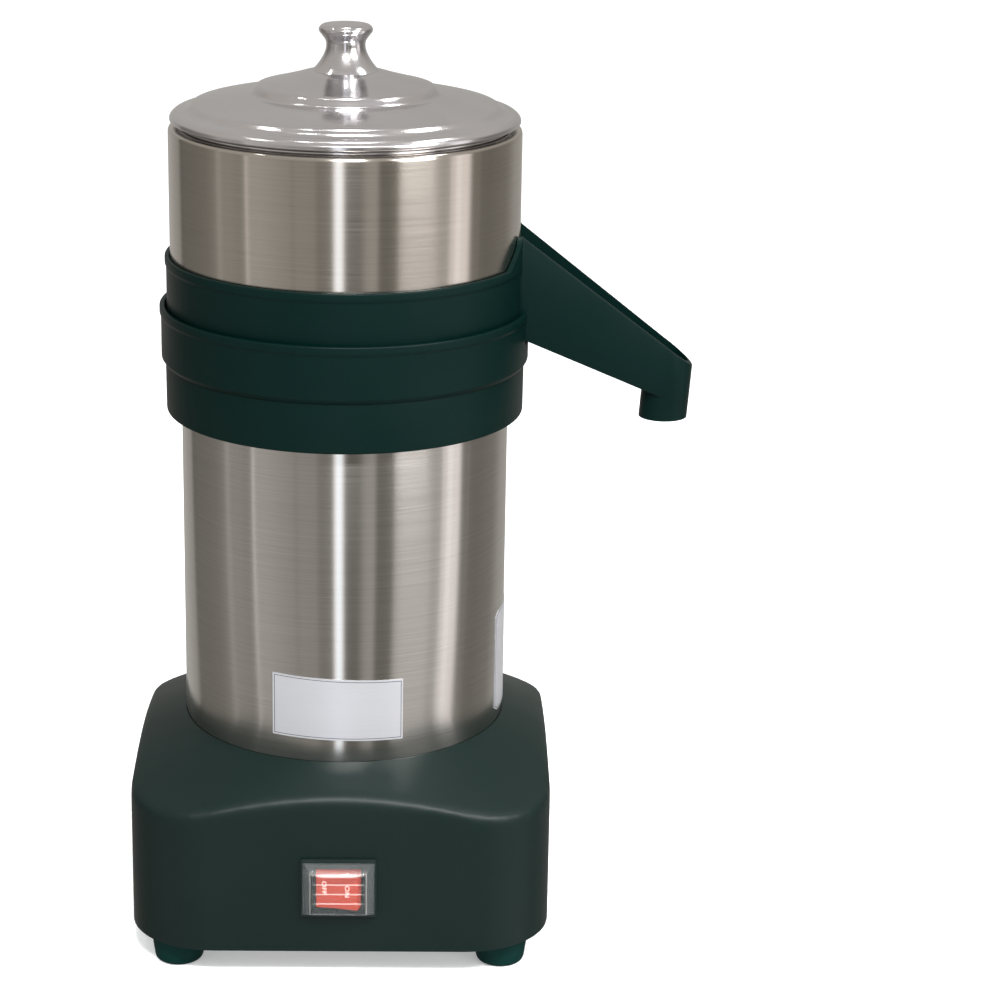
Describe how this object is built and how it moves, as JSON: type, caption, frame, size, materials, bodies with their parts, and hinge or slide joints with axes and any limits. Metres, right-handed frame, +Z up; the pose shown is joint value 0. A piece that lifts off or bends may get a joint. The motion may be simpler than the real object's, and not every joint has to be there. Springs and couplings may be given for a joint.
{
  "type": "citrus juicer",
  "caption": "Electric citrus juicer: square moulded base with rocker switch, steel motor casing, bowl with open side spout, ribbed reamer in a steel guard, domed lid with knob.",
  "frame": {"origin": "on the vertical drive axis, in the plane that the four feet stand on", "axes": "+Z up along the drive axis; +X along the spout, from the axis to the outlet; -Y to the front, where the switch is"},
  "size_m": [0.3031, 0.2476, 0.4969],
  "materials": {
    "black_moulding": "black moulded plastic with a fine satin grain",
    "casing_steel": "fine brushing round the cylinder",
    "strainer_steel": "stainless sheet, satin",
    "lid_aluminium": "spun and polished",
    "rubber": "black rubber",
    "rocker_red": "glossy red",
    "clear_cover": "clear flexible splash cover",
    "switch_black": "black",
    "zinc_fasteners": "zinc plated",
    "plate_steel": "galvanised sheet",
    "die_cast": "die cast, as cast",
    "lamination": "stacked steel sheets",
    "copper": "varnished copper wire",
    "terminal_brass": "bare",
    "bearing_steel": "ground",
    "fan_plastic": "black",
    "capacitor_white": "off-white",
    "nylon": "natural nylon",
    "hub_steel": "turned stainless",
    "reamer_white": "food-grade white"
  },
  "bodies": {
    "motor_unit": {"base_housing": "black_moulding", "base_plate": "plate_steel", "base_plate_screws": "zinc_fasteners", "foot_front_left": "rubber", "foot_front_right": "rubber", "foot_rear_left": "rubber", "foot_rear_right": "rubber", "foot_screws": "zinc_fasteners", "foot_nuts": "zinc_fasteners", "cord_grommet": "rubber", "switch_body": "switch_black", "switch_cover": "clear_cover", "switch_terminals": "terminal_brass", "capacitor": "capacitor_white", "capacitor_clip": "zinc_fasteners", "terminal_block": "nylon", "motor_plate": "plate_steel", "motor_casing": "casing_steel", "tie_rods": "zinc_fasteners", "tie_nuts": "zinc_fasteners", "lower_end_bell": "die_cast", "upper_end_bell": "die_cast", "stator_core": "lamination", "lower_winding": "copper", "upper_winding": "copper", "through_bolts": "zinc_fasteners", "bearing_outer_rings": "bearing_steel", "bearing_balls": "bearing_steel", "motor_cap": "black_moulding", "shaft_seal": "rubber", "seat_ring": "black_moulding", "seat_ring_screws": "zinc_fasteners"},
    "drive": {"motor_shaft": "bearing_steel", "rotor_core": "lamination", "cooling_fan": "fan_plastic", "bearing_inner_rings": "bearing_steel", "retaining_rings": "bearing_steel"},
    "rocker": {"rocker": "rocker_red"},
    "bowl": {"juice_bowl": "black_moulding"},
    "strainer": {"strainer": "strainer_steel"},
    "hub": {"reamer_hub": "hub_steel"},
    "reamer": {"reamer": "reamer_white"},
    "guard": {"steel_guard": "casing_steel"},
    "lid": {"lid_dome": "lid_aluminium", "lid_knob": "lid_aluminium", "knob_screw": "zinc_fasteners", "knob_washer": "zinc_fasteners"}
  },
  "joints": [
    {"name": "motor_spin", "type": "hinge", "parent": "motor_unit", "child": "drive", "pos_m": [0, 0, 0.185], "axis": [0, 0, 1], "continuous": true},
    {"name": "rocker_tilt", "type": "hinge", "parent": "motor_unit", "child": "rocker", "pos_m": [0, -0.1126, 0.054], "axis": [0, 0, 1], "range_deg": [0, 22]},
    {"name": "bowl_lift", "type": "slide", "parent": "motor_unit", "child": "bowl", "axis": [0, 0, 1], "range_m": [0, 0.11]},
    {"name": "strainer_lift", "type": "slide", "parent": "bowl", "child": "strainer", "axis": [0, 0, 1], "range_m": [0, 0.06]},
    {"name": "hub_spin", "type": "hinge", "parent": "strainer", "child": "hub", "pos_m": [0, 0, 0.375], "axis": [0, 0, 1], "continuous": true},
    {"name": "reamer_lift", "type": "slide", "parent": "hub", "child": "reamer", "axis": [0, 0, 1], "range_m": [0, 0.03]},
    {"name": "guard_lift", "type": "slide", "parent": "strainer", "child": "guard", "axis": [0, 0, 1], "range_m": [0, 0.1]},
    {"name": "lid_lift", "type": "slide", "parent": "guard", "child": "lid", "axis": [0, 0, 1], "range_m": [0, 0.05]}
  ],
  "couplings": [
    {"joint": "hub_spin", "follows": "motor_spin", "ratio": 1}
  ]
}
